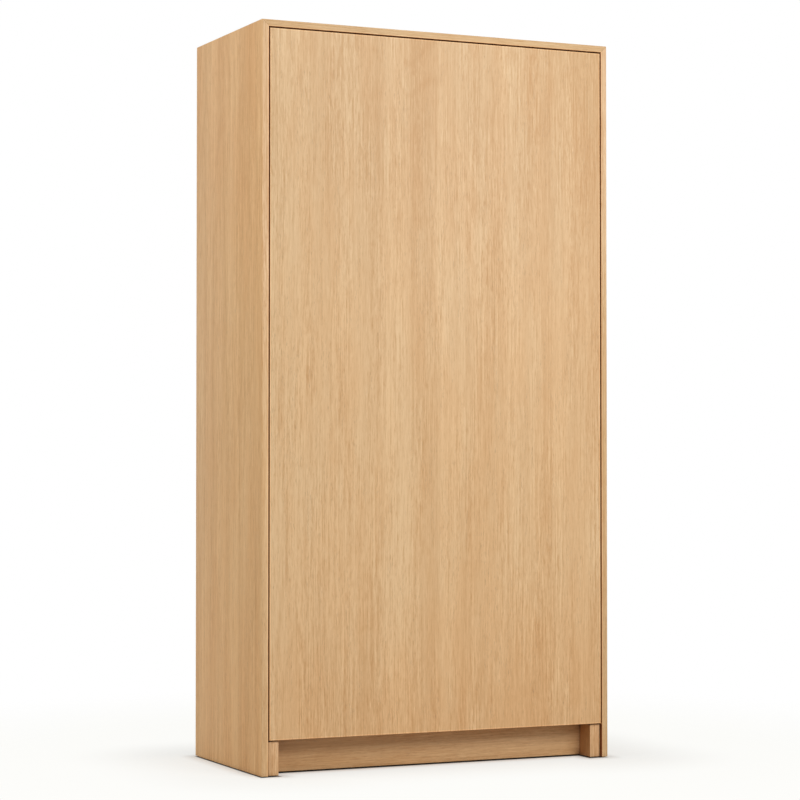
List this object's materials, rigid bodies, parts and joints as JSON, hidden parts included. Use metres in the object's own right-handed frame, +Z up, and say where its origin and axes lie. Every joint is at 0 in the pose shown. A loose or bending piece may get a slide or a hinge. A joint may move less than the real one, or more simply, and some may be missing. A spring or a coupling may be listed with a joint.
{
  "type": "tall cabinet",
  "caption": "Tall oak-veneer cabinet on a recessed plinth, with a plain flush door on concealed hinges, a push latch and shelves inside.",
  "frame": {"origin": "on the floor, under the middle of the cabinet's outside box", "axes": "+X to the right seen from the front, +Y to the back, +Z up; the door is at -Y"},
  "size_m": [1, 0.485, 1.92],
  "materials": {
    "oak": "light oak veneer, satin lacquer",
    "oak_inside": "light oak veneer, matt lacquer",
    "plywood": "thin plywood, matt",
    "steel": "nickel-plated steel, satin",
    "zinc": "zinc-plated steel, satin",
    "plastic": "moulded plastic, matt",
    "felt": "dense pressed felt",
    "rubber": "soft clear rubber"
  },
  "bodies": {
    "cabinet": {"side_panel_left": "oak", "side_panel_right": "oak", "top_panel": "oak", "corner_tongue_left": "plywood", "corner_tongue_right": "plywood", "bottom_panel": "oak_inside", "fixed_shelf": "oak_inside", "back_panel": "plywood", "wall_rail": "oak_inside", "adjustable_shelf_1": "oak_inside", "adjustable_shelf_2": "oak_inside", "adjustable_shelf_3": "oak_inside", "shelf_pin_1_left_front": "steel", "shelf_pin_1_left_rear": "steel", "shelf_pin_1_right_front": "steel", "shelf_pin_1_right_rear": "steel", "shelf_pin_2_left_front": "steel", "shelf_pin_2_left_rear": "steel", "shelf_pin_2_right_front": "steel", "shelf_pin_2_right_rear": "steel", "shelf_pin_3_left_front": "steel", "shelf_pin_3_left_rear": "steel", "shelf_pin_3_right_front": "steel", "shelf_pin_3_right_rear": "steel", "rail_angle": "zinc", "foot_front_left": "oak", "glide_front_left": "felt", "foot_rear_left": "oak", "glide_rear_left": "felt", "foot_front_right": "oak", "glide_front_right": "felt", "foot_rear_right": "oak", "glide_rear_right": "felt", "plinth_board": "oak", "hinge_arm_1": "steel", "hinge_plate_1": "steel", "hinge_arm_2": "steel", "hinge_plate_2": "steel", "hinge_arm_3": "steel", "hinge_plate_3": "steel", "hinge_arm_4": "steel", "hinge_plate_4": "steel", "latch_housing": "plastic", "door_buffer_lower": "rubber", "door_buffer_upper": "rubber"},
    "door": {"door_panel": "oak", "strike_plate": "zinc", "hinge_cup_1": "steel", "hinge_pin_1": "steel", "hinge_cup_2": "steel", "hinge_pin_2": "steel", "hinge_cup_3": "steel", "hinge_pin_3": "steel", "hinge_cup_4": "steel", "hinge_pin_4": "steel"},
    "plunger": {"latch_plunger": "plastic"}
  },
  "joints": [
    {"name": "door_swing", "type": "hinge", "parent": "cabinet", "child": "door", "pos_m": [0.468, -0.2359, 0.9955], "axis": [0, 0, 1], "range_deg": [0, 100]},
    {"name": "plunger_slide", "type": "slide", "parent": "cabinet", "child": "plunger", "axis": [0, -1, 0], "range_m": [0, 0.02]}
  ],
  "couplings": [
    {"joint": "plunger_slide", "follows": "door_swing", "m_per_rad": 0.0114}
  ]
}
